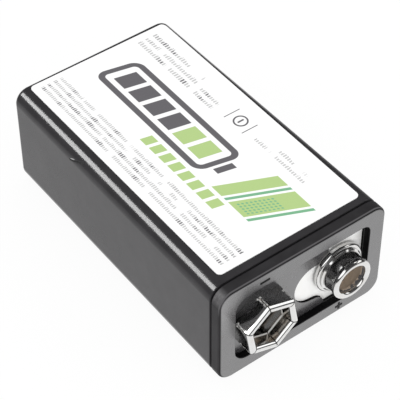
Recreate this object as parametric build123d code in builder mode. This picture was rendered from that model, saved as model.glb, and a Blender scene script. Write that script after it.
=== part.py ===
from build123d import *
from math import cos, radians, tan
import os

# A nine volt block battery lying on its plain back: X across its width, Y along its length
# with the snap terminals towards -Y, Z through its thickness. All sizes are in millimetres.

# Outside of the block
mouth_width = 26.1          # across the terminal end
base_narrowing = 0.8        # how much narrower the closed end is, because of the draft
thickness = 15.9
body_length = 45.3          # from the end face to the base, without the terminals
edge_radius = 2.1           # the four long edges
face_edge_radius = 0.4      # round the end face
base_edge_radius = 0.7      # round the closed end
terminal_spacing = 12.7     # centre to centre of the two snap contacts
terminal_proud = 2.2        # how far both contacts stand out of the end face

# Moulded tub and cover
wall = 1.0
base_wall = 1.2
band_depth = 1.55           # visible side band of the cover
groove_width = 0.4          # parting groove behind the band
groove_inset = 0.5
groove_bevel = 0.1
face_wall = 1.0             # front wall of the cover
plug_wall = 0.6             # skirt of the cover that fits inside the tub
plug_reach = 0.95
plug_clearance = 0.05
plug_corner_radius = 1.0

# Window in the cover, seen from the terminal end
window_socket_margin = 0.4  # from the socket's flats to the left side wall
window_stud_margin = 0.3    # from the stud's opening to the right side wall
window_rail_down = 2.2      # solid rail of the cover below and above the window
window_rail_up = 2.3
window_radius_left = 2.0
window_radius_right = 1.3
window_bevel = 0.1

# Terminal board under the window
board_thickness = 0.4
board_clearance = 0.1
board_corner_radius = 0.9
lobe_radius = 3.1           # round end of the keyhole beside the stud
lobe_offset = 3.75          # lobe centre, from the stud's axis towards the middle
lobe_drop = 0.75
stud_opening_clearance = 0.25
shoulder_radius = 1.95      # rounded corner of the board under the lobe
shoulder_offset = 0.1       # its centre, beyond the window's lower wall
keyhole_side = 1.6          # straight side of the keyhole, from the stud's axis

# Contact plates and straps
plate_thickness = 0.25
plate_corner_radius = 1.0
plate_margin = 0.3          # how far the positive plate reaches past the window
plate_gap = 0.9             # between the two plates
negative_plate_inset = 1.0  # from the board's long edges
strap_thickness = 0.15
strap_width = 5.0
strap_bend_radius = 0.15
strap_clearance = 0.05
strap_notch_clearance = 0.1
weld_clearance = 0.6        # from a rivet's tail to the end of a strap
strap_lap = 9.0             # how far a strap's end lies along a cell

# Rivets through the plates
rivet_radius = 0.9
rivet_bore = 0.5
rivet_clearance = 0.05
rivet_head_radius = 1.55
rivet_head_height = 0.3
rivet_head_bevel = 0.2
rivet_tail_radius = 1.45
rivet_tail_height = 0.25

# Positive stud, a drawn cup with a stepped foot, a tapered neck and a rolled rim
stud_sheet = 0.3
stud_base_radius = 3.3
stud_foot_lift = 0.25
stud_foot_radius = 3.7
stud_foot_height = 0.8
stud_foot_rounding = 0.3
stud_foot_bevel = 0.15
stud_step_radius = 3.25
stud_step_height = 0.35
stud_step_bevel = 0.18
stud_neck_taper = 0.2       # how much wider the neck is at its foot
stud_neck_radius = 2.75     # under the rim
stud_rim_radius = 2.99
stud_rim_lip = 0.35         # how far the rim rolls inside the bore
stud_rim_height = 0.95
stud_rim_rounding = 0.4     # round its front edges
stud_rim_bevel = 0.3        # behind it

# Negative socket, a six-sided cup with rolled petals
socket_across = 7.5         # across its flats
socket_turn = 10            # degrees from +X to the first flat
socket_sheet = 0.28
socket_roll_radius = 0.5
socket_cup_height = 1.0     # closed part below the slits
socket_slit = 0.14
socket_tongue_end = 1.35    # height of the free ends of the petals
socket_tongue_lean = 0.22
socket_relief_radius = 0.2

# Packing of the cells
cell_count = 7
insulator_thickness = 0.8
rivet_pocket_clearance = 0.35
link_gap = 0.4              # between neighbouring cells
base_pad_thickness = 0.35
sleeve_thickness = 0.15
sleeve_clearance = 0.05
case_clearance = 0.3        # between the sleeve and the tub
strap_channel = 0.2         # room for the long strap and its clearance
cell_corner_radius = 4.6
lid_inset = 1.9
lid_raise = 0.35
lid_corner_radius = 2.9
crimp_inset = 0.55
crimp_height = 0.45

# Label on the upper wide face
label_width = 22.0
label_thickness = 0.1
label_radius = 0.65
label_start = 2.97          # from the end face to its near edge
label_end = 0.83            # from its far edge to the base
label_shift = 0.32          # to the right of the middle
label_turn = -0.4           # degrees, as it was stuck on

# Places worked out from the sizes above
face_y = terminal_proud - (body_length + terminal_proud) / 2
mid_z = thickness / 2
stud_x = terminal_spacing / 2
socket_x = -terminal_spacing / 2
draft = base_narrowing / (body_length - band_depth)
stud_opening_radius = stud_foot_radius + stud_opening_clearance
window_left = terminal_spacing / 2 + socket_across / 2 + window_socket_margin
window_right = stud_x + stud_opening_radius + window_stud_margin
window_down = mid_z - window_rail_down
window_up = mid_z - window_rail_up
rail = min(mouth_width / 2 - window_right, mouth_width / 2 - window_left)
rail_rounding = min(1, rail / (2 * face_edge_radius + 2 * window_bevel))
plug_width = mouth_width - draft * plug_reach - 2 * wall - 2 * plug_clearance
plug_height = thickness - 2 * wall - 2 * plug_clearance
hollow_width = plug_width - 2 * plug_wall
hollow_height = plug_height - 2 * plug_wall
plug_end = band_depth + plug_reach
plate_depth = face_wall + board_thickness
weld_depth = plate_depth + plate_thickness
insulator_depth = weld_depth + strap_thickness
stack_start = insulator_depth + insulator_thickness + strap_thickness
stack_end = body_length - base_wall - base_pad_thickness - strap_thickness
cell_height = (stack_end - stack_start - (cell_count - 1) * link_gap) / cell_count
cell_pitch = cell_height + link_gap
base_width = mouth_width - base_narrowing
sleeve_width = base_width - 2 * wall - 2 * (strap_thickness + strap_channel)
core_width = min(sleeve_width, hollow_width - 2 * board_clearance)
cell_width = sleeve_width - 2 * (sleeve_thickness + sleeve_clearance)
sleeve_depth = thickness - 2 * wall - 2 * case_clearance
cell_depth = sleeve_depth - 2 * (sleeve_thickness + sleeve_clearance)
strap_run_x = sleeve_width / 2 + strap_clearance + strap_thickness / 2


def level(depth, x=0):
    """Plane that looks out of the terminal end, at a depth below the end face."""
    return Plane(origin=(x, face_y + depth, mid_z), x_dir=(1, 0, 0), z_dir=(0, -1, 0))


def section(depth, x):
    """Half section through a terminal's axis: local X is the radius, local Y points outwards."""
    return Plane(origin=(x, face_y + depth, mid_z), x_dir=(1, 0, 0), z_dir=(0, 0, -1))


def outwards(x):
    """Axis of a terminal."""
    return Axis((x, face_y, mid_z), (0, -1, 0))


# Mid plane of the thickness: local X is the width, local Y is the depth below the end face
plan = Plane(origin=(0, face_y, mid_z), x_dir=(1, 0, 0), z_dir=(0, 0, 1))


def drafted_block(start, end, inset):
    """Block that narrows towards the base, from one depth to another, with its walls moved in."""
    half_start = (mouth_width - draft * (start - band_depth)) / 2 - inset
    half_end = (mouth_width - draft * (end - band_depth)) / 2 - inset
    with BuildPart() as block:
        with BuildSketch(plan):
            with BuildLine():
                Polyline(
                    (-half_start, start),
                    (half_start, start),
                    (half_end, end),
                    (-half_end, end),
                    (-half_start, start),
                )
            make_face()
        extrude(amount=thickness / 2 - inset, both=True)
        corners = block.edges().filter_by(Axis.X, reverse=True).filter_by(Axis.Z, reverse=True)
        fillet(corners, edge_radius - inset)
    return block.part


tub_outside = drafted_block(band_depth, body_length, 0)
tub_inside = drafted_block(band_depth, body_length - base_wall, wall)

# Tub: drafted walls, closed base, and a lip that the cover's band rests on
with BuildPart() as case:
    add(tub_outside)
    fillet(case.faces().sort_by(Axis.Y)[-1].edges(), base_edge_radius)
    add(tub_inside, mode=Mode.SUBTRACT)
    with BuildSketch(level(band_depth)):
        RectangleRounded(mouth_width + 2 * wall, thickness + 2 * wall, edge_radius + wall)
        RectangleRounded(
            mouth_width - 2 * groove_inset,
            thickness - 2 * groove_inset,
            edge_radius - groove_inset,
            mode=Mode.SUBTRACT,
        )
    extrude(amount=-groove_width, mode=Mode.SUBTRACT)
    shoulder = case.faces().filter_by(Axis.Y).sort_by(Axis.Y)[1]
    chamfer(shoulder.outer_wire().edges(), groove_bevel)
case.part.label = "case"

# Cover: face with a window, side band, and a skirt that plugs into the tub
with BuildPart() as terminal_cover:
    with BuildSketch(level(0)):
        RectangleRounded(mouth_width, thickness, edge_radius)
    extrude(amount=-band_depth)
    fillet(terminal_cover.faces().sort_by(Axis.Y)[0].edges(), face_edge_radius * rail_rounding)
    with BuildSketch(level(band_depth)):
        RectangleRounded(plug_width, plug_height, plug_corner_radius)
    extrude(amount=-plug_reach)
    with BuildSketch(level(face_wall)):
        RectangleRounded(hollow_width, hollow_height, plug_corner_radius)
    extrude(amount=face_wall - plug_end, mode=Mode.SUBTRACT)
    with BuildSketch(level(0)) as window:
        with Locations(((window_right - window_left) / 2, (window_up - window_down) / 2)):
            Rectangle(window_left + window_right, window_up + window_down)
        fillet(window.vertices().group_by(Axis.X)[0], window_radius_left)
        fillet(window.vertices().group_by(Axis.X)[-1], window_radius_right)
    extrude(amount=-face_wall, mode=Mode.SUBTRACT)
    front = terminal_cover.faces().sort_by(Axis.Y)[0]
    chamfer(front.inner_wires()[0].edges(), window_bevel * rail_rounding)
    # Notch in the skirt for the long strap
    with BuildSketch(level(weld_depth - strap_notch_clearance)):
        with Locations((-plug_width / 2, 0)):
            Rectangle(
                2 * plug_wall,
                strap_width + 2 * strap_notch_clearance,
                align=(Align.MIN, Align.CENTER),
            )
    extrude(amount=weld_depth - strap_notch_clearance - plug_end, mode=Mode.SUBTRACT)
terminal_cover.part.label = "terminal_cover"

# Board behind the window: a rivet hole for the socket, a keyhole for the stud
with BuildPart() as terminal_board:
    with BuildSketch(level(face_wall)):
        RectangleRounded(
            hollow_width - 2 * board_clearance,
            hollow_height - 2 * board_clearance,
            board_corner_radius,
        )
        with Locations((socket_x, 0)):
            Circle(rivet_radius + rivet_clearance, mode=Mode.SUBTRACT)
        with BuildSketch(mode=Mode.PRIVATE) as keyhole:
            with Locations((stud_x - lobe_offset, -lobe_drop)):
                Circle(lobe_radius)
            with Locations((stud_x, 0)):
                Circle(stud_opening_radius)
            with Locations((stud_x - keyhole_side, -window_down)):
                Rectangle(
                    window_right - stud_x + keyhole_side,
                    window_up + window_down,
                    align=(Align.MIN, Align.MIN),
                )
            with Locations((stud_x - lobe_offset, -window_down)):
                Rectangle(lobe_offset, window_down - lobe_drop, align=(Align.MIN, Align.MIN))
            with Locations((stud_x - lobe_offset, -window_down - shoulder_offset)):
                Circle(shoulder_radius, mode=Mode.SUBTRACT)
        add(keyhole.sketch, mode=Mode.SUBTRACT)
    extrude(amount=-board_thickness)
terminal_board.part.label = "terminal_board"

# Bright plate under the stud, filling what the keyhole shows
plate_left = stud_x - lobe_offset - lobe_radius - plate_margin
plate_right = hollow_width / 2 - board_clearance
plate_height = window_up + window_down + 2 * plate_margin
with BuildPart() as positive_plate:
    with BuildSketch(level(plate_depth)):
        with Locations(((plate_left + plate_right) / 2, (window_up - window_down) / 2)):
            RectangleRounded(plate_right - plate_left, plate_height, plate_corner_radius)
        with Locations((stud_x, 0)):
            Circle(rivet_radius + rivet_clearance, mode=Mode.SUBTRACT)
    extrude(amount=-plate_thickness)
positive_plate.part.label = "positive_plate"

with BuildPart() as negative_plate:
    with BuildSketch(level(plate_depth)):
        with Locations(((plate_left - plate_gap - plate_right) / 2, 0)):
            RectangleRounded(
                plate_right + plate_left - plate_gap,
                hollow_height - 2 * board_clearance - 2 * negative_plate_inset,
                plate_corner_radius,
            )
        with Locations((socket_x, 0)):
            Circle(rivet_radius + rivet_clearance, mode=Mode.SUBTRACT)
    extrude(amount=-plate_thickness)
negative_plate.part.label = "negative_plate"

# Stud: base disc, stepped foot, tapered neck, rolled rim and the open cup inside
stud_height = plate_depth + terminal_proud
stud_bore = stud_neck_radius - stud_sheet
stud_mouth = stud_bore - stud_rim_lip
foot_top = stud_foot_lift + stud_foot_height
step_top = foot_top + stud_step_height
rim_base = stud_height - stud_rim_height
with BuildPart() as positive_stud:
    with BuildSketch(section(plate_depth, stud_x)):
        Rectangle(stud_base_radius, stud_foot_lift, align=(Align.MIN, Align.MIN))
        with BuildSketch(mode=Mode.PRIVATE) as foot:
            with Locations((0, stud_foot_lift)):
                Rectangle(stud_foot_radius, stud_foot_height, align=(Align.MIN, Align.MIN))
            fillet(foot.vertices().group_by(Axis.X)[-1].sort_by(Axis.Y)[-1], stud_foot_rounding)
            chamfer(foot.vertices().group_by(Axis.X)[-1].sort_by(Axis.Y)[0], stud_foot_bevel)
        add(foot.sketch)
        with BuildSketch(mode=Mode.PRIVATE) as step:
            with Locations((0, foot_top)):
                Rectangle(stud_step_radius, stud_step_height, align=(Align.MIN, Align.MIN))
            chamfer(step.vertices().group_by(Axis.X)[-1].sort_by(Axis.Y)[-1], stud_step_bevel)
        add(step.sketch)
        with BuildLine():
            Polyline(
                (0, step_top),
                (stud_neck_radius + stud_neck_taper, step_top),
                (stud_neck_radius, rim_base),
                (0, rim_base),
                (0, step_top),
            )
        make_face()
        with BuildSketch(mode=Mode.PRIVATE) as rim:
            with Locations((stud_mouth, rim_base)):
                Rectangle(
                    stud_rim_radius - stud_mouth, stud_rim_height, align=(Align.MIN, Align.MIN)
                )
            fillet(rim.vertices().group_by(Axis.Y)[-1], stud_rim_rounding)
            chamfer(rim.vertices().group_by(Axis.Y)[0].sort_by(Axis.X)[-1], stud_rim_bevel)
        add(rim.sketch)
        # Open cup inside the neck, and the rivet's hole in its floor
        with Locations((0, stud_sheet)):
            Rectangle(
                stud_bore, rim_base - stud_sheet, align=(Align.MIN, Align.MIN), mode=Mode.SUBTRACT
            )
        Rectangle(
            rivet_radius + rivet_clearance,
            stud_sheet,
            align=(Align.MIN, Align.MIN),
            mode=Mode.SUBTRACT,
        )
    revolve(axis=outwards(stud_x))
positive_stud.part.label = "positive_stud"


def rivet(x, depth, grip):
    """Tubular rivet with a bevelled head above the grip and a clinched tail below it."""
    with BuildPart() as eyelet:
        with BuildSketch(section(depth, x)):
            with BuildLine():
                Polyline(
                    (rivet_bore, rivet_head_height),
                    (rivet_head_radius - rivet_head_bevel, rivet_head_height),
                    (rivet_head_radius, rivet_head_height - rivet_head_bevel),
                    (rivet_head_radius, 0),
                    (rivet_radius, 0),
                    (rivet_radius, -grip),
                    (rivet_tail_radius, -grip),
                    (rivet_radius, -grip - rivet_tail_height),
                    (rivet_bore, -grip - rivet_tail_height),
                    (rivet_bore, rivet_head_height),
                )
            make_face()
        revolve(axis=outwards(x))
    return eyelet.part


positive_rivet = rivet(stud_x, plate_depth - stud_sheet, stud_sheet + plate_thickness)
positive_rivet.label = "positive_rivet"
negative_rivet = rivet(
    socket_x,
    face_wall - socket_sheet,
    socket_sheet + board_thickness + plate_thickness,
)
negative_rivet.label = "negative_rivet"

# One petal of the socket: straight wall, rolled top, tongue turned down inside
socket_height = face_wall + terminal_proud
socket_apothem = socket_across / 2
roll_centre = socket_apothem - socket_roll_radius
roll_inner_radius = socket_roll_radius - socket_sheet
roll_base = socket_height - socket_roll_radius
tongue_outer = roll_centre - roll_inner_radius
tongue_inner = roll_centre - socket_roll_radius
wedge_side = (socket_across - socket_slit) * tan(radians(30))
corner_turn = socket_turn + 30
with BuildPart() as petal:
    with BuildSketch(Plane.XZ):
        with BuildLine():
            Line((socket_apothem, socket_cup_height), (socket_apothem, roll_base))
            ThreePointArc(
                (socket_apothem, roll_base),
                (roll_centre, socket_height),
                (tongue_inner, roll_base),
            )
            Polyline(
                (tongue_inner, roll_base),
                (tongue_inner - socket_tongue_lean, socket_tongue_end),
                (tongue_outer - socket_tongue_lean, socket_tongue_end),
                (tongue_outer, roll_base),
            )
            ThreePointArc(
                (tongue_outer, roll_base),
                (roll_centre, roll_base + roll_inner_radius),
                (socket_apothem - socket_sheet, roll_base),
            )
            Polyline(
                (socket_apothem - socket_sheet, roll_base),
                (socket_apothem - socket_sheet, socket_cup_height),
                (socket_apothem, socket_cup_height),
            )
        make_face()
    extrude(amount=socket_apothem, both=True)
    # The slits on both sides leave a wedge of the ring
    with BuildSketch(Plane.XY):
        with BuildLine():
            Polyline(
                (socket_slit, 0),
                (socket_across, wedge_side),
                (socket_across, -wedge_side),
                (socket_slit, 0),
            )
        make_face()
    extrude(amount=socket_height, mode=Mode.INTERSECT)

# Socket: closed six-sided cup with a riveted floor, and the six petals above it
petals = [
    level(face_wall, socket_x) * turn * petal.part
    for turn in PolarLocations(0, 6, start_angle=socket_turn)
]
with BuildPart() as negative_socket:
    with BuildSketch(level(face_wall, socket_x)):
        RegularPolygon(socket_apothem, 6, major_radius=False, rotation=corner_turn)
    extrude(amount=socket_cup_height)
    with BuildSketch(level(face_wall - socket_sheet, socket_x)):
        RegularPolygon(socket_apothem - socket_sheet, 6, major_radius=False, rotation=corner_turn)
    extrude(amount=socket_cup_height - socket_sheet, mode=Mode.SUBTRACT)
    with BuildSketch(level(face_wall, socket_x)):
        Circle(rivet_radius + rivet_clearance)
    extrude(amount=socket_sheet, mode=Mode.SUBTRACT)
    add(petals)
    # Round relief at the lower end of each slit
    with BuildSketch(level(face_wall - socket_cup_height, socket_x)):
        with PolarLocations(socket_apothem / cos(radians(30)), 6, start_angle=corner_turn):
            Circle(socket_relief_radius)
    extrude(amount=socket_relief_radius, both=True, mode=Mode.SUBTRACT)
negative_socket.part.label = "negative_socket"

# Sheet between the plates and the first cell, with pockets for the rivets' tails
with BuildPart() as top_insulator:
    with BuildSketch(level(insulator_depth)):
        RectangleRounded(
            core_width - 2 * (strap_thickness + strap_channel),
            hollow_height - 2 * board_clearance,
            board_corner_radius,
        )
        with Locations((stud_x, 0), (socket_x, 0)):
            Circle(rivet_tail_radius + rivet_pocket_clearance, mode=Mode.SUBTRACT)
    extrude(amount=-insulator_thickness)
top_insulator.part.label = "top_insulator"

# Short strap: welded under the positive plate and folded back onto the first cell
fold_x = core_width / 2 - strap_thickness
with BuildPart() as positive_strap:
    with BuildSketch(plan):
        with BuildLine():
            FilletPolyline(
                (stud_x + rivet_tail_radius + weld_clearance, weld_depth + strap_thickness / 2),
                (fold_x, weld_depth + strap_thickness / 2),
                (fold_x, stack_start - strap_thickness / 2),
                (fold_x - strap_lap, stack_start - strap_thickness / 2),
                radius=strap_bend_radius,
            )
        trace(line_width=strap_thickness)
    extrude(amount=strap_width / 2, both=True)
positive_strap.part.label = "positive_strap"

# Long strap: from the negative plate, down beside the stack and under the last cell
with BuildPart() as negative_strap:
    with BuildSketch(plan):
        with BuildLine():
            FilletPolyline(
                (socket_x - rivet_tail_radius - weld_clearance, weld_depth + strap_thickness / 2),
                (-strap_run_x, weld_depth + strap_thickness / 2),
                (-strap_run_x, stack_end + strap_thickness / 2),
                (strap_lap - strap_run_x, stack_end + strap_thickness / 2),
                radius=strap_bend_radius,
            )
        trace(line_width=strap_thickness)
    extrude(amount=strap_width / 2, both=True)
negative_strap.part.label = "negative_strap"

# Shrink sleeve that holds the cells in a stack
with BuildPart() as stack_sleeve:
    with BuildSketch(level(stack_start)):
        RectangleRounded(
            sleeve_width,
            sleeve_depth,
            cell_corner_radius + sleeve_clearance + sleeve_thickness,
        )
        RectangleRounded(
            sleeve_width - 2 * sleeve_thickness,
            sleeve_depth - 2 * sleeve_thickness,
            cell_corner_radius + sleeve_clearance,
            mode=Mode.SUBTRACT,
        )
    extrude(amount=stack_start + strap_bend_radius - stack_end)
stack_sleeve.part.label = "stack_sleeve"


def sealed_cell(start):
    """Sealed oblong cell: drawn cup towards the terminals, crimped rim, raised lid."""
    with BuildPart() as cell:
        with BuildSketch(level(start)):
            RectangleRounded(cell_width, cell_depth, cell_corner_radius)
        extrude(amount=lid_raise - cell_height)
        crimp_face = cell.faces().sort_by(Axis.Y)[-1]
        chamfer(crimp_face.edges(), crimp_inset, crimp_height, reference=crimp_face)
        with BuildSketch(level(start + cell_height - lid_raise)):
            RectangleRounded(
                cell_width - 2 * lid_inset,
                cell_depth - 2 * lid_inset,
                lid_corner_radius,
            )
        extrude(amount=-lid_raise)
    return cell.part


def folded_link(start):
    """Nickel strap folded once, between the lid of one cell and the cup of the next."""
    link_fold = cell_width / 2 - lid_inset
    with BuildPart() as link:
        with BuildSketch(plan):
            with BuildLine():
                FilletPolyline(
                    (-strap_lap / 2, start + strap_thickness / 2),
                    (link_fold, start + strap_thickness / 2),
                    (link_fold, start + link_gap - strap_thickness / 2),
                    (-strap_lap / 2, start + link_gap - strap_thickness / 2),
                    radius=(link_gap - strap_thickness) / 2 - strap_clearance / 2,
                )
            trace(line_width=strap_thickness)
        extrude(amount=strap_width / 2, both=True)
    return link.part


cells = []
links = []
for index in range(cell_count):
    cell_start = stack_start + index * cell_pitch
    cell = sealed_cell(cell_start)
    cell.label = f"cell_{index + 1}"
    cells.append(cell)
    if index < cell_count - 1:
        link = folded_link(cell_start + cell_height)
        link.label = f"link_strap_{index + 1}"
        links.append(link)

# Pad between the long strap and the base of the tub
with BuildPart() as base_pad:
    with BuildSketch(level(stack_end + strap_thickness)):
        RectangleRounded(sleeve_width, sleeve_depth, plug_corner_radius)
    extrude(amount=-base_pad_thickness)
base_pad.part.label = "base_pad"

# Label: a film that follows the tub's upper face and a little of its rounded edge
label_length = body_length - label_start - label_end
label_middle = (label_shift, face_y + label_start + label_length / 2)
label_wrap = drafted_block(band_depth, body_length, -label_thickness)
with BuildPart() as label:
    with BuildSketch(Plane.XY.offset(mid_z)):
        with Locations(Location((*label_middle, 0), (0, 0, label_turn))):
            RectangleRounded(label_width, label_length, label_radius)
    extrude(amount=thickness)
    add(label_wrap, mode=Mode.INTERSECT)
    add(tub_outside, mode=Mode.SUBTRACT)
label.part.label = "label"

os.makedirs("parts", exist_ok=True)
pieces = [
    case.part,
    terminal_cover.part,
    terminal_board.part,
    positive_plate.part,
    negative_plate.part,
    positive_stud.part,
    negative_socket.part,
    positive_rivet,
    negative_rivet,
    top_insulator.part,
    positive_strap.part,
    negative_strap.part,
    stack_sleeve.part,
    *cells,
    *links,
    base_pad.part,
    label.part,
]
for piece in pieces:
    export_step(piece, f"parts/{piece.label}.step")
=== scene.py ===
import bpy
import bmesh
import math
from mathutils import Euler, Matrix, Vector


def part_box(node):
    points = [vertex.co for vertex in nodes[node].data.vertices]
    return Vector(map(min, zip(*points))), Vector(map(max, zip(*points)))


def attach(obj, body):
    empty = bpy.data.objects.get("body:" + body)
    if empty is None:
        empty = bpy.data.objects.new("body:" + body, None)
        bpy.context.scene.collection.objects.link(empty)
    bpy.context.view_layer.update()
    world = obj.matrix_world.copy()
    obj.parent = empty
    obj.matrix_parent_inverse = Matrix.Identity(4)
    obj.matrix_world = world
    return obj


# Nine volt block battery lying on its plain back: X across its width, Y along its length
# with the terminals towards -Y, Z through its thickness. Pieces are in metres. Patterns are in
# millimetres, and a noise's number is how many of its waves fit into one. A mask's numbers are
# its limit and how soft its edge is, or from, to and how soft

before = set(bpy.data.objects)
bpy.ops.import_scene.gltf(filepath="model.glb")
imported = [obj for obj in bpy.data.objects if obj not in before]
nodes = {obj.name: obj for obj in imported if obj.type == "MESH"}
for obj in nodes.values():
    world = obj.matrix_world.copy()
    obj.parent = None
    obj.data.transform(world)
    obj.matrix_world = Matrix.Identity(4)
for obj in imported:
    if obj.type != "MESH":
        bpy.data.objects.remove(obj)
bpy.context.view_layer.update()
mm = 0.001
print("frame loaded:", len(nodes), "nodes")

# Places that several pieces share, read from the frame
caseLow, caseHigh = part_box("case")
labelLow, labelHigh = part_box("label")
studLow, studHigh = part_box("positive_stud")
socketLow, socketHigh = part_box("negative_socket")
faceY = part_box("terminal_cover")[0].y
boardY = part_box("terminal_board")[0].y
midZ = (caseLow.z + caseHigh.z) / 2
studX = (studLow.x + studHigh.x) / 2
socketX = (socketLow.x + socketHigh.x) / 2


# One output of a node. Maths on it adds Math nodes to its material
class Wire:
    def __init__(self, paint, socket):
        self.paint = paint
        self.socket = socket

    def maths(self, operation, *values, clamp=False):
        settings = {"operation": operation, "use_clamp": clamp}
        return self.paint.add("Math", settings, dict(enumerate(values)))

    def __add__(self, other):
        return self.maths("ADD", self, other)

    def __radd__(self, other):
        return self.maths("ADD", other, self)

    def __sub__(self, other):
        return self.maths("SUBTRACT", self, other)

    def __rsub__(self, other):
        return self.maths("SUBTRACT", other, self)

    def __mul__(self, other):
        return self.maths("MULTIPLY", self, other)

    def __rmul__(self, other):
        return self.maths("MULTIPLY", other, self)

    def __truediv__(self, other):
        return self.maths("DIVIDE", self, other)

    def __rtruediv__(self, other):
        return self.maths("DIVIDE", other, self)

    def __abs__(self):
        return self.maths("ABSOLUTE", self)

    def whole(self):
        return self.maths("FLOOR", self)

    def most(self, other):
        return self.maths("MAXIMUM", self, other)

    def reach(self, other):
        # how far out, where this one and the other are at right angles
        return self.maths("SQRT", self * self + other * other)

    def above(self, limit, soft):
        # 0 under the limit and 1 over it, with an edge this soft
        return self.maths("MULTIPLY_ADD", self - limit, 1 / soft, 0.5, clamp=True)

    def below(self, limit, soft):
        return self.maths("MULTIPLY_ADD", limit - self, 1 / soft, 0.5, clamp=True)

    def between(self, low, high, soft):
        return self.above(low, soft) * self.below(high, soft)

    def fold(self, period):
        # distance to the nearest multiple of the period
        return self.maths("PINGPONG", self, period / 2)


# A material or a world, with one method that adds any node
class Paint:
    def __init__(self, owner):
        owner.use_nodes = True
        self.owner = owner
        self.tree = owner.node_tree

    def add(self, kind, settings=None, inputs=None, output=0):
        node = self.tree.nodes.new("ShaderNode" + kind)
        for name, value in (settings or {}).items():
            setattr(node, name, value)
        for name, value in (inputs or {}).items():
            self.feed(node.inputs[name], value)
        return Wire(self, node.outputs[output])

    def feed(self, target, value):
        if isinstance(value, Wire):
            self.tree.links.new(value.socket, target)
        else:
            target.default_value = value

    def show(self, shader):
        self.feed(self.tree.nodes["Material Output"].inputs["Surface"], shader)

    def mix(self, factor, first, second):
        # colours; the inputs 6 and 7 are the colour pair of the Mix node
        settings = {"data_type": "RGBA"}
        return self.add("Mix", settings, {0: factor, 6: first, 7: second}, output=2)

    def noise(self, vector, scale, detail=3.0, rough=0.5, seed=0.0):
        settings = {"noise_dimensions": "4D"}
        inputs = {"Vector": vector, "Scale": scale, "Detail": detail, "Roughness": rough, "W": seed}
        return self.add("TexNoise", settings, inputs)

    def place(self, centre=(0, 0, 0), turn=0.0, size=(mm, mm, mm)):
        # object coordinates from a centre, in millimetres, turned about Z
        settings = {"vector_type": "TEXTURE"}
        where = self.add("TexCoord", output="Object")
        inputs = {"Vector": where, "Location": centre, "Rotation": (0, 0, turn), "Scale": size}
        return self.add("Mapping", settings, inputs)

    def split(self, vector):
        found = self.add("SeparateXYZ", None, {0: vector})
        return [Wire(self, output) for output in found.socket.node.outputs]

    def bump(self, height, distance, before=None):
        inputs = {"Height": height, "Distance": distance}
        if before is not None:
            inputs["Normal"] = before
        return self.add("Bump", None, inputs)

    def rays(self):
        # 1 for what the camera sees, for what a mirror sees, and for what a second mirror sees
        outputs = self.add("LightPath").socket.node.outputs
        again = Wire(self, outputs["Glossy Depth"]).above(1.5, 0.1)
        return Wire(self, outputs["Is Camera Ray"]), Wire(self, outputs["Is Glossy Ray"]), again


def finish(paint, **values):
    # the values go to the shader's sockets
    for key, value in values.items():
        paint.feed(paint.shader.inputs[key.replace("_", " ")], value)
    return paint.owner


def principled(name, **values):
    paint = Paint(bpy.data.materials.new(name))
    paint.shader = paint.tree.nodes["Principled BSDF"]
    finish(paint, **values)
    return paint


def grey(value):
    return (value, value, value, 1)


# Black moulded plastic of the tub, with a gouge across its left long edge
tubLook = {
    "dark": (0.030, 0.029, 0.031, 1),
    "pale": (0.041, 0.0395, 0.042, 1),
    "ior": 1.5,
    "gloss": 0.12,
    "rough": 0.15,
    "roughSpread": 0.06,
    "cloud": 0.35,
    "cloudEdge": (0.5, 0.5),
    "grain": 3.0,
    "grainDepth": 0.00015 * mm,
    "specks": 3.4,
    "speckEdge": (0.80, 0.03),
    "speckShare": 0.5,
    "speckTone": grey(0.6),
    "gouge": {
        "middle": (0, 9.0 * mm, 14.5 * mm),
        "lean": 2.5,                # along the edge for each millimetre up
        "leftEdge": (-11.0, 0.5),
        "half": (1.4, 0.4),         # half its length
        "halfWide": (0.13, 0.1),
        "ragged": 0.12,
        "raggedNoise": 2.5,
        "share": 0.8,
        "tone": grey(0.006),
        "rough": 0.4,
        "depth": 0.08 * mm,
        "fleckAside": 0.15,
        "fleckHalfWide": (0.06, 0.06),
        "fleckRun": (-1.2, -0.4, 0.2),
        "fleckTone": grey(0.45),
    },
}


def gougeMasks(paint, where, look):
    # the gouge, and a bright fleck at its low end
    sideX, sideY, sideZ = paint.split(paint.place(look["middle"]))
    steep = math.hypot(1, look["lean"])
    across = (sideY + look["lean"] * sideZ) / steep
    along = (sideZ - look["lean"] * sideY) / steep
    ragged = paint.noise(where, look["raggedNoise"], seed=11.0) - 0.5
    across = across + look["ragged"] * ragged
    leftEdge = sideX.below(*look["leftEdge"])
    gouge = abs(across).below(*look["halfWide"]) * abs(along).below(*look["half"])
    fleck = abs(across - look["fleckAside"]).below(*look["fleckHalfWide"])
    fleck = fleck * along.between(*look["fleckRun"])
    return gouge * leftEdge, fleck * leftEdge


def tubPlastic(name):
    look, dent = tubLook, tubLook["gouge"]
    paint = principled(name, IOR=look["ior"], Specular_IOR_Level=look["gloss"])
    where = paint.place()
    cloud = paint.noise(where, look["cloud"], detail=2)
    grain = paint.noise(where, look["grain"], detail=2, seed=3.0)
    specks = paint.noise(where, look["specks"], detail=2, rough=0.9, seed=6.0)
    specks = specks.above(*look["speckEdge"])
    gouge, fleck = gougeMasks(paint, where, dent)
    color = paint.mix(cloud.above(*look["cloudEdge"]), look["dark"], look["pale"])
    color = paint.mix(specks * look["speckShare"], color, look["speckTone"])
    color = paint.mix(gouge * dent["share"], color, dent["tone"])
    color = paint.mix(fleck, color, dent["fleckTone"])
    rough = look["rough"] + look["roughSpread"] * (cloud - 0.5)
    rough = rough + dent["rough"] * gouge.most(fleck)
    normal = paint.bump(grain, look["grainDepth"])
    normal = paint.bump(1 - gouge, dent["depth"], before=normal)
    return finish(paint, Base_Color=color, Roughness=rough, Normal=normal)


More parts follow.
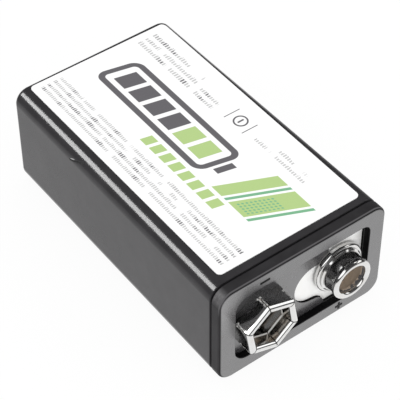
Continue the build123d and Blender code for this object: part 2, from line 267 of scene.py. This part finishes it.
# Satin front of the cover and of the board behind its window. Their sides are plainer and a
# little darker, as painted shade, and the walls of the window and the board's cut edges are
# painted nearly black, as painted shade
faceLook = {
    "cloud": 0.4,
    "cloudEdge": (0.5, 0.4),
    "grain": 4.0,
    "grainDepth": 0.010 * mm,
    "front": {
        "dark": (0.036, 0.035, 0.037, 1),
        "pale": (0.052, 0.050, 0.053, 1),
        "ior": 2.2,
        "rough": 0.27,
        "roughSpread": 0.12,
        "ends": (0.03, 0.05),           # behind its surface, where the plain sides start
    },
    "side": {
        # a little darker than the front: painted shade
        "dark": (0.024, 0.023, 0.0245, 1),
        "pale": (0.036, 0.035, 0.037, 1),
        "ior": 1.09,
        "rough": 0.34,
        "crease": (0.00, 0.12, 0.05),   # painted shade: a dark line round the front, for a moulded line that the solid lacks
        "edgeShadeShare": 0.6,
        "edgeHighlight": (0.15, 0.30, 0.08),    # and a painted highlight behind it, on the cover's top
        "edgeHighlightFrom": (13.5, 2.0),
        "edgeHighlightTone": (0.100, 0.097, 0.101, 1),
    },
    "wall": {
        # painted shade: the walls and cut edges are made nearly black
        "tone": (0.006, 0.006, 0.0065, 1),
        "rough": 0.3,                   # added to the sides'
        "across": (-10.62, 10.72, 0.06),
        "high": (2.08, 13.72, 0.06),
        "behind": (0.05, 0.04),
    },
    "corner": {                         # painted glare, mottled, on the upper left
        "tone": (0.15, 0.147, 0.151, 1),
        "specks": 5.0,
        "speckEdge": (0.5, 0.35),
        "frontX": (-10.6, 3.4),
        "frontZ": (10.4, 3.4),
        "frontShare": (0.2, 0.6),       # everywhere, and added in the specks
        "sideX": (-11.9, 1.0),
        "sideZ": (14.4, 1.0),
        "sideShare": (0.35, 0.65),
    },
}


def satinFace(name, frontY, showsPaintedLight):
    # frontY: place of the piece's front surface. The last argument is 1 where the painted highlight
    # on the cover's top and the painted glare on its upper left corner show, and 0 where they don't
    look, front, side = faceLook, faceLook["front"], faceLook["side"]
    wallShade, paintedHighlight = faceLook["wall"], faceLook["corner"]
    paint = principled(name, IOR=front["ior"])
    where = paint.place()
    cloud = paint.noise(where, look["cloud"], detail=4, seed=2.0)
    grain = paint.noise(where, look["grain"], rough=0.6, seed=5.0)
    specks = paint.noise(where, paintedHighlight["specks"], rough=0.8, seed=15.0)
    specks = specks.above(*paintedHighlight["speckEdge"])
    shade = cloud.above(*look["cloudEdge"])
    normal = paint.bump(grain, look["grainDepth"])
    acrossX, depth, acrossZ = paint.split(paint.place((0, frontY, 0)))
    wall = acrossX.between(*wallShade["across"]) * acrossZ.between(*wallShade["high"])
    wall = wall * depth.above(*wallShade["behind"])

    # the sides
    always, extra = paintedHighlight["sideShare"]
    # painted glare on the rounded upper left corner
    corner = acrossX.below(*paintedHighlight["sideX"]) * acrossZ.above(*paintedHighlight["sideZ"]) * showsPaintedLight
    # painted highlight line on the top, and painted shade line round the front
    edgeHighlight = depth.between(*side["edgeHighlight"]) * acrossZ.above(*side["edgeHighlightFrom"]) * showsPaintedLight
    crease = depth.between(*side["crease"]) * side["edgeShadeShare"]
    color = paint.mix(shade, side["dark"], side["pale"])
    color = paint.mix(corner * (always + extra * specks), color, paintedHighlight["tone"])
    color = paint.mix(edgeHighlight, color, side["edgeHighlightTone"])
    # painted shade: nearly black on the walls and along the dark line round the front
    color = paint.mix(wall.most(crease), color, wallShade["tone"])
    rough = side["rough"] + wallShade["rough"] * wall
    settings = {"Base Color": color, "Roughness": rough, "IOR": side["ior"], "Normal": normal}
    plain = paint.add("BsdfPrincipled", None, settings)

    # the front
    always, extra = paintedHighlight["frontShare"]
    # painted glare on the front's upper left corner
    corner = acrossX.below(*paintedHighlight["frontX"]) * acrossZ.above(*paintedHighlight["frontZ"]) * showsPaintedLight
    color = paint.mix(shade, front["dark"], front["pale"])
    color = paint.mix(corner * (always + extra * specks), color, paintedHighlight["tone"])
    rough = front["rough"] + front["roughSpread"] * (cloud - 0.5)
    finish(paint, Base_Color=color, Roughness=rough, Normal=normal)
    satin = Wire(paint, paint.shader.outputs[0])
    back = wall.most(depth.above(*front["ends"]))
    paint.show(paint.add("MixShader", None, {0: back, 1: satin, 2: plain}))
    return paint.owner


# Nickel: bright on the contacts, paler and duller on the plates, the straps and the cans
nickelLook = {
    "bright": (0.63, 0.63, 0.625, 1),
    "warm": (0.58, 0.565, 0.54, 1),
    "metallic": 0.975,
    "rough": 0.07,
    "roughSpread": 0.06,
    "cloud": 0.8,
    "cloudMiddle": 0.4,
    "cloudEdge": (0.62, 0.3),
    "fine": 14.0,
    "fineDepth": 0.0006 * mm,
}
plateLook = {
    "bright": (0.88, 0.88, 0.87, 1),
    "warm": (0.85, 0.84, 0.82, 1),
    "metallic": 0.1,
    "rough": 0.5,
}
strapLook = {"bright": (0.74, 0.74, 0.73, 1), "warm": (0.62, 0.60, 0.56, 1), "rough": 0.25}
cellLook = {**strapLook, "rough": 0.22}


def nickel(name, changes):
    look = {**nickelLook, **changes}
    paint = principled(name, Metallic=look["metallic"])
    where = paint.place()
    cloud = paint.noise(where, look["cloud"], detail=5, seed=1.0)
    fine = paint.noise(where, look["fine"], detail=2, seed=4.0)
    color = paint.mix(cloud.above(*look["cloudEdge"]), look["bright"], look["warm"])
    rough = look["rough"] + look["roughSpread"] * (cloud - look["cloudMiddle"])
    return paint, color, rough, paint.bump(fine, look["fineDepth"])


def plainNickel(name, **changes):
    paint, color, rough, normal = nickel(name, changes)
    return finish(paint, Base_Color=color, Roughness=rough, Normal=normal)


# Inside the stud's mouth the metal is dull and stained brown, and grey near the lip and on its left
# side, which is painted shade
studLook = {
    "stainTone": (0.57, 0.47, 0.37, 1),
    "shadeTone": (0.11, 0.11, 0.115, 1),
    "bore": (2.6, 0.05),            # from the axis
    "lip": (0.45, 0.1),             # behind the front, where the dull inside starts
    "stainFrom": (-0.9, 0.15),      # across the cup
    "stainBehind": (0.75, 0.12),
    "ragged": 1.6,
    "raggedNoise": 1.6,
    "rough": 0.5,
    "metalLost": 0.9,
}


def studNickel(name):
    look = studLook
    paint, color, rough, normal = nickel(name, {})
    acrossX, depth, acrossZ = paint.split(paint.place((studX, studLow.y, midZ)))
    inside = acrossX.reach(acrossZ).below(*look["bore"]) * depth.above(*look["lip"])
    ragged = look["ragged"] * (paint.noise(paint.place(), look["raggedNoise"], seed=12.0) - 0.5)
    stain = (acrossX + ragged).above(*look["stainFrom"])
    stain = stain * (depth + ragged).above(*look["stainBehind"])
    # grey where the brown stain stops: painted shade on the cup's wall
    color = paint.mix(inside, color, paint.mix(stain, look["shadeTone"], look["stainTone"]))
    return finish(
        paint,
        Base_Color=color,
        Roughness=rough + look["rough"] * inside,
        Metallic=nickelLook["metallic"] - look["metalLost"] * inside,
        Normal=normal,
    )


# The socket is stained inside, and painted bright as highlights on its tongues' ends, along its
# slits and at their feet
socketLook = {
    "flats": (10, 70, 130),         # degrees from the width's direction
    "corners": (40, 100, 160),
    "bore": (2.9, 0.05),            # from the axis, towards a flat
    "lip": (0.7, 0.1),
    "stain": 1.0,
    "stainEdge": (0.5, 0.3),
    "stainShare": (0.5, 0.5),       # everywhere inside, and added in the patches
    "stainTone": (0.50, 0.44, 0.38, 1),
    "highlightTone": (0.86, 0.85, 0.83, 1),
    "tongueEnd": (1.62, 1.92, 0.05),
    "slitReach": (4.20, 0.10),      # from the axis, towards a corner
    "slitRun": (0.6, 2.2, 0.12),
    "slitPatches": 3.0,
    "slitShare": (0.45, 0.9),       # everywhere along it, and added in the patches
    "slitEdge": (0.9, 0.3),
    "earReach": (4.14, 0.10),       # painted highlight at the foot of each slit
    "earRun": (2.05, 2.30, 0.12),
    "rough": 0.3,
    "metalLost": 0.85,
}


def hexReach(acrossX, acrossZ, turns):
    # how far out from the axis, measured towards the nearest of six directions
    furthest = acrossX * 0
    for turn in turns:
        angle = math.radians(turn)
        furthest = furthest.most(abs(acrossX * math.cos(angle) + acrossZ * math.sin(angle)))
    return furthest


def socketNickel(name):
    look = socketLook
    paint, color, rough, normal = nickel(name, {})
    where = paint.place()
    acrossX, depth, acrossZ = paint.split(paint.place((socketX, socketLow.y, midZ)))
    flat = hexReach(acrossX, acrossZ, look["flats"])
    corner = hexReach(acrossX, acrossZ, look["corners"])

    # stained inside
    always, extra = look["stainShare"]
    inside = flat.below(*look["bore"]) * depth.above(*look["lip"])
    patches = paint.noise(where, look["stain"], detail=4, seed=7.0).above(*look["stainEdge"])
    color = paint.mix(inside * (always + extra * patches), color, look["stainTone"])

    # painted highlights at the tongues' ends, along the slits and at their feet
    always, extra = look["slitShare"]
    patches = always + extra * paint.noise(where, look["slitPatches"], detail=2, seed=13.0)
    slit = corner.above(*look["slitReach"]) * depth.between(*look["slitRun"])
    slit = slit * patches.below(*look["slitEdge"])
    ear = corner.above(*look["earReach"]) * depth.between(*look["earRun"])
    tongue = inside * depth.between(*look["tongueEnd"])
    paintedHighlight = tongue.most(slit.most(ear))
    color = paint.mix(paintedHighlight, color, look["highlightTone"])
    return finish(
        paint,
        Base_Color=color,
        Roughness=rough + look["rough"] * paintedHighlight,
        Metallic=nickelLook["metallic"] - look["metalLost"] * paintedHighlight,
        Normal=normal,
    )


# Matt stuff with a fleck: the insulating board and the foam pad
fibreLook = {"rough": 0.85, "fleckEdge": (0.5, 0.3), "fleckDepth": 0.02 * mm}
insulatorLook = {"dark": (0.36, 0.32, 0.26, 1), "pale": (0.52, 0.47, 0.39, 1), "fleck": 5.0}
padLook = {"dark": (0.06, 0.06, 0.06, 1), "pale": (0.12, 0.12, 0.12, 1), "fleck": 3.0}


def fibre(name, **changes):
    look = {**fibreLook, **changes}
    paint = principled(name, Roughness=look["rough"])
    fleck = paint.noise(paint.place(), look["fleck"], detail=6, rough=0.7)
    color = paint.mix(fleck.above(*look["fleckEdge"]), look["dark"], look["pale"])
    return finish(paint, Base_Color=color, Normal=paint.bump(fleck, look["fleckDepth"]))


# Thin film drawn tight round the cells, with faint creases along it
sleeveLook = {
    "tone": (0.02, 0.07, 0.16, 1),
    "creaseTone": (0.014, 0.049, 0.112, 1),
    "ior": 1.5,
    "rough": 0.25,
    "crease": 0.8,
    "creaseEdge": (0.5, 0.6),
    "creaseSize": (mm, 6 * mm, mm),
    "creaseDepth": 0.05 * mm,
}


def shrinkFilm(name):
    look = sleeveLook
    paint = principled(name, IOR=look["ior"], Roughness=look["rough"])
    creases = paint.noise(paint.place(size=look["creaseSize"]), look["crease"])
    color = paint.mix(creases.above(*look["creaseEdge"]), look["tone"], look["creaseTone"])
    return finish(paint, Base_Color=color, Normal=paint.bump(creases, look["creaseDepth"]))


# Printed label. Its coordinates are in millimetres from its middle: "along" is the reading
# direction, towards the terminals, and "up" is across it, towards the stud's side
labelLook = {
    "turn": -0.4,                   # degrees, as it was stuck on
    "ior": 1.5,
    "gloss": 0.05,
    "rough": 0.50,
    "roughSpread": 0.1,
    "wave": 0.25,
    "waveDepth": 0.02 * mm,
    "fine": 12.0,
    "fineDepth": 0.0006 * mm,
    "soft": 0.06,                   # edge of the print
    "slant": 0.22,                  # of the gauge and the dashes
    "inks": {
        "paper": (0.95, 0.95, 0.95, 1),
        "grey": (0.135, 0.13, 0.14, 1),
        "pale": (0.36, 0.36, 0.36, 1),
        "lightGreen": (0.45, 0.61, 0.25, 1),
        "deepGreen": (0.20, 0.46, 0.27, 1),
    },
    "gauge": {
        "along": -5.6,
        "up": 0.5,
        "length": 23.0,
        "height": 6.4,
        "corner": 1.5,
        "stroke": 0.85,
        "bar": 3.3,
        "gap": 0.75,
        "green": 7.9,               # how much of its length is green
        "contact": (0.45, 1.5),     # beyond the frame, from and to
        "contactHalf": 1.3,
    },
    "dashes": {"start": -4.2, "end": 11.8, "up": -4.2, "height": 1.7, "pitch": 2.0, "gap": 0.55},
    "stripes": {
        "low": -2.8,
        "high": 5.0,
        "slant": 0.45,
        "runs": [                   # along the slanted line from and to, and the ink
            (8.4, 10.5, "lightGreen"),
            (10.9, 11.4, "deepGreen"),
            (11.8, 15.0, "lightGreen"),
            (15.4, 15.9, "deepGreen"),
        ],
    },
    "dots": {
        "along": (12.2, 14.6, 0.1),
        "up": (-2.3, 2.2, 0.1),
        "pitch": 0.5,
        "radius": (0.15, 0.05),
    },
    "ticks": {                      # lengths are shares of the row's or the tick's pitch
        "halfGap": 0.20,
        "foot": (0.18, 0.1),
        "height": 0.56,
        "heightSpread": 0.26,
        "topSoft": 0.1,
        "stretch": (0.4, 5.3),      # of the runs, along a row and from row to row
        "runEdge": (0.40, 0.03),
        "boldEdge": (0.60, 0.06),
        "share": (0.65, 0.3),       # of the ink everywhere, and added where it is bold
        "blocks": [                 # along from and to, up from, rows, row pitch, tick pitch
            (-19.8, 19.6, -10.0, 4, 0.98, 0.36),
            (-19.6, -8.0, 5.4, 3, 1.25, 0.46),
            (-7.0, -3.0, 5.4, 2, 1.1, 0.42),
            (5.0, 14.8, 6.4, 2, 1.05, 0.42),
        ],
    },
    "badge": {
        "along": 1.2,
        "up": 7.4,
        "radius": 1.05,
        "stroke": 0.24,
        "rule": 1.9,                # from the middle to the two lines beside it
        "ruleHalf": 0.07,
        "ruleTall": 1.3,
        "barHalf": 0.14,
        "barTall": 0.5,
    },
}
printSoft = labelLook["soft"]
inks = labelLook["inks"]


def roundedBox(along, up, look):
    # distance outside a box with round corners, negative inside it
    along = abs(along) - (look["length"] / 2 - look["corner"])
    up = abs(up) - (look["height"] / 2 - look["corner"])
    return along.most(0.0).reach(up.most(0.0)) - look["corner"]


def gaugeMasks(along, up, look):
    # a slanted frame with bars in it and a contact at its end, and the bars that are green
    up = up - look["up"]
    along = along - look["along"] - labelLook["slant"] * up
    reach = look["length"] / 2
    inset = look["stroke"] + look["gap"]
    start, end = look["contact"]
    rim = roundedBox(along, up, look).between(-look["stroke"], 0.0, printSoft)
    bars = along.fold(look["bar"]).above(look["gap"] / 2, printSoft)
    bars = bars * abs(along).below(reach - inset, printSoft)
    bars = bars * abs(up).below(look["height"] / 2 - inset, printSoft)
    contact = along.between(reach + start, reach + end, printSoft)
    contact = contact * abs(up).below(look["contactHalf"], printSoft)
    green = bars * along.above(reach - look["green"], printSoft)
    return rim.most(bars).most(contact), green


def dashMask(along, up, look):
    up = up - look["up"]
    along = along - labelLook["slant"] * up
    mask = along.fold(look["pitch"]).above(look["gap"] / 2, printSoft)
    mask = mask * along.between(look["start"], look["end"], printSoft)
    return mask * abs(up).below(look["height"] / 2, printSoft)


def dotMask(along, up, look):
    spot = along.fold(look["pitch"]).reach(up.fold(look["pitch"])).below(*look["radius"])
    return spot * along.between(*look["along"]) * up.between(*look["up"])


def tickMasks(paint, along, up, look, block):
    # rows of little upright ticks of uneven height, in runs with gaps between them, and the
    # runs that are bold
    start, end, low, rows, pitch, step = block
    alongRow, acrossRows = look["stretch"]
    line = (up - low) / pitch
    row = line.whole()
    height = line - row
    cell = paint.add("CombineXYZ", None, {0: (along / step).whole(), 1: row, 2: low})
    chance = paint.add("TexWhiteNoise", {"noise_dimensions": "3D"}, {"Vector": cell})
    spread = paint.add("CombineXYZ", None, {0: along * alongRow, 1: row * acrossRows, 2: low})
    run = paint.noise(spread, 1.0, detail=1)
    tick = (along + step / 2).fold(step).above(step * look["halfGap"], printSoft)
    top = look["height"] + look["heightSpread"] * chance - height
    tall = height.above(*look["foot"]) * top.above(0.0, look["topSoft"])
    inside = along.between(start, end, printSoft) * line.between(0.0, rows, printSoft)
    return tick * tall * inside * run.above(*look["runEdge"]), run.above(*look["boldEdge"])


def badgeMask(along, up, look):
    # a ring with an upright bar in it, between two lines
    along, up = abs(along - look["along"]), abs(up - look["up"])
    thin = look["ruleHalf"]
    ring = along.reach(up).between(look["radius"] - look["stroke"], look["radius"], printSoft)
    rule = (along - look["rule"]).between(-thin, thin, printSoft)
    rule = rule * up.below(look["ruleTall"], printSoft)
    bar = along.below(look["barHalf"], printSoft) * up.below(look["barTall"], printSoft)
    return ring.most(rule).most(bar)


def labelPrint(name):
    look = labelLook
    paint = principled(name, IOR=look["ior"], Specular_IOR_Level=look["gloss"])
    centre = ((labelLow.x + labelHigh.x) / 2, (labelLow.y + labelHigh.y) / 2, labelHigh.z)
    up, back, _ = paint.split(paint.place(centre, math.radians(look["turn"])))
    along = -1 * back
    solid, green = gaugeMasks(along, up, look["gauge"])
    color = paint.mix(solid, inks["paper"], inks["grey"])
    color = paint.mix(green, color, inks["lightGreen"])
    color = paint.mix(dashMask(along, up, look["dashes"]), color, inks["lightGreen"])

    # diagonal stripes, one of them with a field of dots
    stripes = look["stripes"]
    lean = along - stripes["slant"] * (up - stripes["low"])
    belt = up.between(stripes["low"], stripes["high"], printSoft)
    for start, end, ink in stripes["runs"]:
        color = paint.mix(belt * lean.between(start, end, printSoft), color, inks[ink])
    color = paint.mix(dotMask(lean, up, look["dots"]), color, inks["deepGreen"])

    # small print and the badge
    always, extra = look["ticks"]["share"]
    for block in look["ticks"]["blocks"]:
        mask, bold = tickMasks(paint, along, up, look["ticks"], block)
        ink = paint.mix(bold, inks["pale"], inks["grey"])
        color = paint.mix(mask * (always + extra * bold), color, ink)
    color = paint.mix(badgeMask(along, up, look["badge"]), color, inks["grey"])

    wave = paint.noise(paint.place(), look["wave"], detail=2, seed=9.0)
    fine = paint.noise(paint.place(), look["fine"], detail=2, seed=2.0)
    normal = paint.bump(wave, look["waveDepth"])
    normal = paint.bump(fine, look["fineDepth"], before=normal)
    rough = look["rough"] + look["roughSpread"] * fine
    return finish(paint, Base_Color=color, Roughness=rough, Normal=normal)


contactPaint = plainNickel("contactNickel")
platePaint = plainNickel("plateNickel", **plateLook)
strapPaint = plainNickel("strapNickel", **strapLook)
cellPaint = plainNickel("cellSteel", **cellLook)
paints = {
    "case": tubPlastic("tubPlastic"),
    "terminal_cover": satinFace("coverPlastic", faceY, 1.0),
    "terminal_board": satinFace("boardPlastic", boardY, 0.0),
    "label": labelPrint("labelPrint"),
    "positive_stud": studNickel("studNickel"),
    "negative_socket": socketNickel("socketNickel"),
    "positive_rivet": contactPaint,
    "negative_rivet": contactPaint,
    "positive_plate": platePaint,
    "negative_plate": platePaint,
    "top_insulator": fibre("insulatorFibre", **insulatorLook),
    "base_pad": fibre("padFoam", **padLook),
    "stack_sleeve": shrinkFilm("sleeveFilm"),
}
for name, node in nodes.items():
    spare = cellPaint if name.startswith("cell") else strapPaint
    node.data.materials.clear()
    node.data.materials.append(paints.get(name, spare))
print("materials given:", len(bpy.data.materials))

# Plus and minus moulded on the cover's rails, in millimetres from the cover's middle. Their
# near-black colour is painted shade of the moulded signs
signLook = {
    "bar": 0.30,
    "proud": 0.05,
    "buried": 0.10,
    "minus": (-6.18, 6.6, 1.45),    # x, z and length
    "plus": (6.3, -6.75, 1.15),
    "dark": grey(0.003),
    "pale": grey(0.009),
    "ior": 1.3,
    "rough": 0.6,
    "cloud": 3.0,
}


def signShadePlastic(name):
    look = signLook
    paint = principled(name, IOR=look["ior"], Roughness=look["rough"])
    cloud = paint.noise(paint.place(), look["cloud"])
    return finish(paint, Base_Color=paint.mix(cloud, look["dark"], look["pale"]))


def signBar(mesh, centreX, centreZ, width, height):
    # one bar, standing a little out of the end face
    low = Vector((centreX - width / 2, faceY / mm - signLook["proud"], centreZ - height / 2))
    high = Vector((centreX + width / 2, faceY / mm + signLook["buried"], centreZ + height / 2))
    made = bmesh.ops.create_cube(mesh, size=1.0)
    for vertex in made["verts"]:
        for axis in range(3):
            vertex.co[axis] = (high if vertex.co[axis] > 0 else low)[axis] * mm


def sign(name, spec, crossed, material):
    centreX, centreZ, length = spec
    centreZ = centreZ + midZ / mm
    bar = signLook["bar"]
    mesh = bmesh.new()
    signBar(mesh, centreX, centreZ, length, bar)
    if crossed:
        arm = (length - bar) / 2
        for way in (-1, 1):
            signBar(mesh, centreX, centreZ + way * (bar + arm) / 2, bar, arm)
    data = bpy.data.meshes.new(name)
    mesh.to_mesh(data)
    mesh.free()
    piece = bpy.data.objects.new(name, data)
    bpy.context.scene.collection.objects.link(piece)
    data.materials.append(material)
    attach(piece, "root")


signPaint = signShadePlastic("signShadePlastic")
sign("minusSign", signLook["minus"], False, signPaint)
sign("plusSign", signLook["plus"], True, signPaint)
print("signs made")

# White table. The camera and mirrors see it nearly white without any light on it, and mirrors
# see it darker to the right of the battery, which is a painted shadow of the battery, and far away
tableLook = {
    "size": 1.2,
    "tone": 0.90,
    "fill": 0.35,                   # added to the light that it throws back
    "glow": 0.93,                   # what the camera sees of it
    "mirrored": 1.15,               # what mirrors see of it
    "rightX": (20.0, 14.0),
    "rightY": (-20.0, 26.0, 8.0),
    "shadowKept": 0.25,
    "far": (90.0, 30.0),
    "farKept": 0.1,
    "againKept": 0.75,              # in a second mirror
}


def dimmed(level, mask, kept):
    # the level, with only this share kept where the mask is 1
    return level * (1 - (1 - kept) * mask)


def tablePaper(name):
    look = tableLook
    paint = Paint(bpy.data.materials.new(name))
    paint.tree.nodes.remove(paint.tree.nodes["Principled BSDF"])
    isCamera, isGlossy, again = paint.rays()
    tableX, tableY, _ = paint.split(paint.place())
    # painted shadow of the battery, which only mirrors see
    right = tableX.above(*look["rightX"]) * tableY.between(*look["rightY"])
    mirrored = dimmed(look["mirrored"], right, look["shadowKept"])
    mirrored = dimmed(mirrored, tableX.reach(tableY).above(*look["far"]), look["farKept"])
    mirrored = dimmed(mirrored, again, look["againKept"])
    matt = paint.add("BsdfDiffuse", None, {"Color": grey(look["tone"])})
    fill = paint.add("Emission", None, {"Color": grey(1), "Strength": look["fill"]})
    lit = paint.add("AddShader", None, {0: matt, 1: fill})
    part = paint.add("BsdfDiffuse", None, {"Color": grey(1 - look["glow"])})
    strength = isCamera * look["glow"] + isGlossy * mirrored
    glow = paint.add("Emission", None, {"Color": grey(1), "Strength": strength})
    shown = paint.add("AddShader", None, {0: part, 1: glow})
    paint.show(paint.add("MixShader", None, {0: isCamera.most(isGlossy), 1: lit, 2: shown}))
    return paint.owner


half = tableLook["size"] / 2
mesh = bpy.data.meshes.new("table")
mesh.from_pydata(
    [(-half, -half, 0), (half, -half, 0), (half, half, 0), (-half, half, 0)],
    [],
    [(0, 1, 2, 3)],
)
mesh.materials.append(tablePaper("tablePaper"))
table = bpy.data.objects.new("table", mesh)
bpy.context.scene.collection.objects.link(table)
print("table laid")

# The world lights everything evenly. Mirrors see darkness in it, a dim room in front, and a
# few bright patches, all placed by the direction of the look
skyLook = {
    "ambient": 1.08,
    "dark": 0.03,
    "room": 0.06,
    "roomY": (0.0, 0.4),
    "roomFloor": (0.04, 0.04),
    "roomTop": (0.72, 0.25),
    "againKept": 0.12,              # in a second mirror
    "patches": [                    # brightness, then X, Y and Z: from, to and how soft
        (1.7, (-2.0, -0.28, 0.12), (-0.97, 0.30, 0.10), (0.28, 0.92, 0.06)),    # front left
        (1.7, (0.68, 2.0, 0.10), (-0.80, 0.30, 0.10), (0.28, 0.56, 0.06)),      # right
        (3.0, (0.54, 0.72, 0.06), (-0.02, 0.24, 0.06), (0.66, 2.0, 0.06)),      # high lamp
    ],
}


def studioSky(world):
    look = skyLook
    paint = Paint(world)
    isCamera, isGlossy, again = paint.rays()
    lookX, lookY, lookZ = paint.split(paint.add("TexCoord", output="Generated"))
    room = lookY.below(*look["roomY"]) * lookZ.above(*look["roomFloor"])
    mirrored = look["room"] * room * lookZ.below(*look["roomTop"])
    for brightness, acrossX, acrossY, acrossZ in look["patches"]:
        patch = lookX.between(*acrossX) * lookY.between(*acrossY) * lookZ.between(*acrossZ)
        mirrored = mirrored + brightness * patch
    mirrored = dimmed(mirrored, again, look["againKept"]) + look["dark"]
    plain = (1 - isCamera) * (1 - isGlossy) * look["ambient"]
    background = paint.tree.nodes["Background"]
    paint.feed(background.inputs["Color"], grey(1))
    paint.feed(background.inputs["Strength"], isCamera + isGlossy * mirrored + plain)


world = bpy.data.worlds.new("studio")
bpy.context.scene.world = world
world.cycles.sampling_method = "NONE"
studioSky(world)

# Flat lamps turned to the battery. A mirrored one shows only in what is glossy, and the other
# one lights only what is matt
aim = Vector((0, 0, 0.008))
lamps = {
    "edgeLight": {
        "place": Vector((-0.215, 0.185, 0.220)),
        "size": (0.20, 0.135),
        "radiance": 44.0,
        "mirrored": True,
    },
    "frontFill": {
        "place": Vector((-0.05, -0.50, 0.12)),
        "size": (0.30, 0.20),
        "radiance": 2.2,
        "mirrored": False,
    },
}
for name, spec in lamps.items():
    width, height = spec["size"]
    lamp = bpy.data.lights.new(name, "AREA")
    lamp.shape = "RECTANGLE"
    lamp.size, lamp.size_y = width, height
    lamp.energy = spec["radiance"] * math.pi * width * height
    box = bpy.data.objects.new(name, lamp)
    box.location = spec["place"]
    box.rotation_euler = (spec["place"] - aim).to_track_quat("Z", "Y").to_euler()
    box.visible_camera = False
    box.visible_diffuse = not spec["mirrored"]
    box.visible_glossy = spec["mirrored"]
    bpy.context.scene.collection.objects.link(box)
print("lights set:", len(lamps))

# Camera at the photograph's viewing angle
viewpoint = {
    "place": (-0.090020, -0.120222, 0.162852),
    "turn": (43.911, 0.207, -37.149),       # degrees
    "lens": 148.345,
    "sensor": 36.0,
    "clip": (0.01, 10.0),
}
lens = bpy.data.cameras.new("camera")
lens.lens = viewpoint["lens"]
lens.sensor_width = viewpoint["sensor"]
lens.clip_start, lens.clip_end = viewpoint["clip"]
camera = bpy.data.objects.new("camera", lens)
camera.location = viewpoint["place"]
camera.rotation_euler = Euler([math.radians(angle) for angle in viewpoint["turn"]])
bpy.context.scene.collection.objects.link(camera)
bpy.context.scene.camera = camera
bpy.context.scene.view_settings.view_transform = "Standard"
print("camera set")
